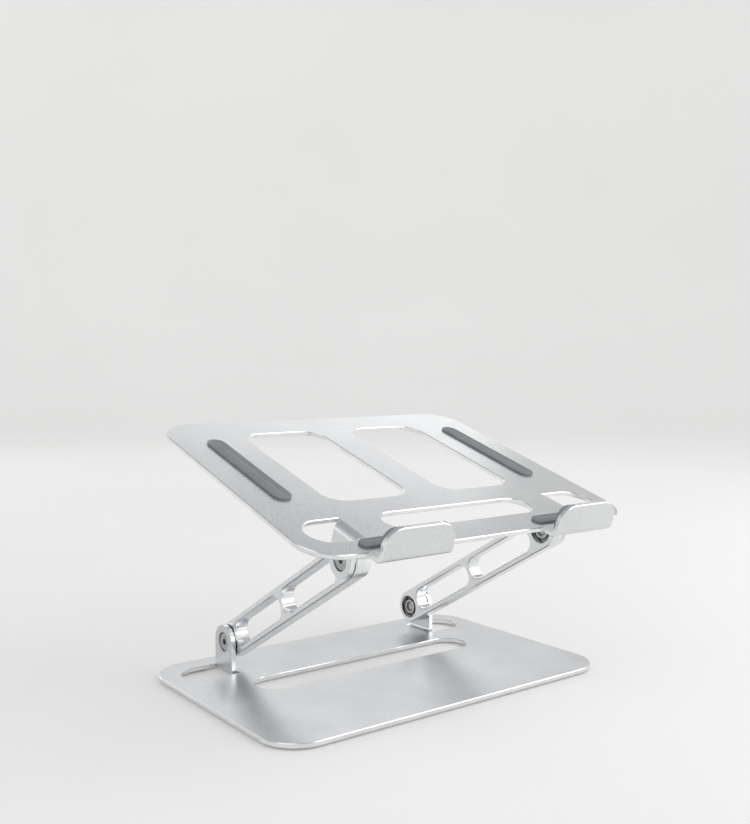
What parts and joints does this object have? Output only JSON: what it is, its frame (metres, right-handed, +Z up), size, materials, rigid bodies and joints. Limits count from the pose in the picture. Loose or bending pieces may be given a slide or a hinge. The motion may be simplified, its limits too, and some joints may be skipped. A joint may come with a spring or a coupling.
{
  "type": "laptop stand",
  "caption": "Folding Z-shaped laptop stand: flat slotted base, twin windowed arms on friction hinges, tilting tray with front hooks and soft pads.",
  "frame": {"origin": "on the desk plane, under the centre of the stand's outline as it stands open", "axes": "+X to the stand's right as the user faces it, -Y toward the user, +Z up; rest pose as in the picture, arms 29.57 degrees above the desk and tray at 17 degrees"},
  "size_m": [0.2606, 0.2166, 0.1694],
  "materials": {
    "satin_aluminium": "bead-blasted and clear anodised, satin",
    "arm_aluminium": "satin faces, polished window walls",
    "pad_silicone": "matte grey silicone",
    "foot_rubber": "matte black rubber",
    "bush_polymer": "black polymer",
    "friction_polymer": "dark polymer ring",
    "screw_steel": "turned steel",
    "nut_steel": "dark zinc-plated steel",
    "spring_steel": "hardened spring steel"
  },
  "bodies": {
    "base": {"base_plate": "satin_aluminium", "foot_front_left": "foot_rubber", "foot_front_right": "foot_rubber", "foot_rear_left": "foot_rubber", "foot_rear_right": "foot_rubber", "pivot_screw_lower_left": "screw_steel", "pivot_screw_lower_right": "screw_steel", "friction_washer_lower_left": "friction_polymer", "friction_washer_lower_right": "friction_polymer", "thrust_washer_lower_left": "spring_steel", "thrust_washer_lower_right": "spring_steel", "disc_spring_lower_left": "spring_steel", "disc_spring_lower_right": "spring_steel", "lock_nut_lower_left": "nut_steel", "lock_nut_lower_right": "nut_steel"},
    "arm_left_body": {"arm_left": "arm_aluminium", "bush_lower_left": "bush_polymer", "bush_upper_left": "bush_polymer"},
    "arm_right_body": {"arm_right": "arm_aluminium", "bush_lower_right": "bush_polymer", "bush_upper_right": "bush_polymer"},
    "tray": {"tray_plate": "satin_aluminium", "hook_pad_left": "pad_silicone", "hook_pad_right": "pad_silicone", "tray_pad_front_left": "pad_silicone", "tray_pad_front_right": "pad_silicone", "tray_pad_rear_left": "pad_silicone", "tray_pad_rear_right": "pad_silicone", "pivot_screw_upper_left": "screw_steel", "pivot_screw_upper_right": "screw_steel", "friction_washer_upper_left": "friction_polymer", "friction_washer_upper_right": "friction_polymer", "thrust_washer_upper_left": "spring_steel", "thrust_washer_upper_right": "spring_steel", "disc_spring_upper_left": "spring_steel", "disc_spring_upper_right": "spring_steel", "lock_nut_upper_left": "nut_steel", "lock_nut_upper_right": "nut_steel"}
  },
  "joints": [
    {"name": "arm_left_fold", "type": "hinge", "parent": "base", "child": "arm_left_body", "pos_m": [-0.0785, 0.07898, 0.0224], "axis": [-1, 0, 0], "range_deg": [-29.57, 60.43]},
    {"name": "arm_right_fold", "type": "hinge", "parent": "base", "child": "arm_right_body", "pos_m": [0.0785, 0.07898, 0.0224], "axis": [-1, 0, 0], "range_deg": [-29.57, 60.43]},
    {"name": "tray_tilt", "type": "hinge", "parent": "arm_left_body", "child": "tray", "pos_m": [-0.0785, -0.05879, 0.10057], "axis": [1, 0, 0], "range_deg": [-46.57, 63.43]}
  ],
  "couplings": [
    {"joint": "arm_right_fold", "follows": "arm_left_fold", "ratio": 1}
  ]
}
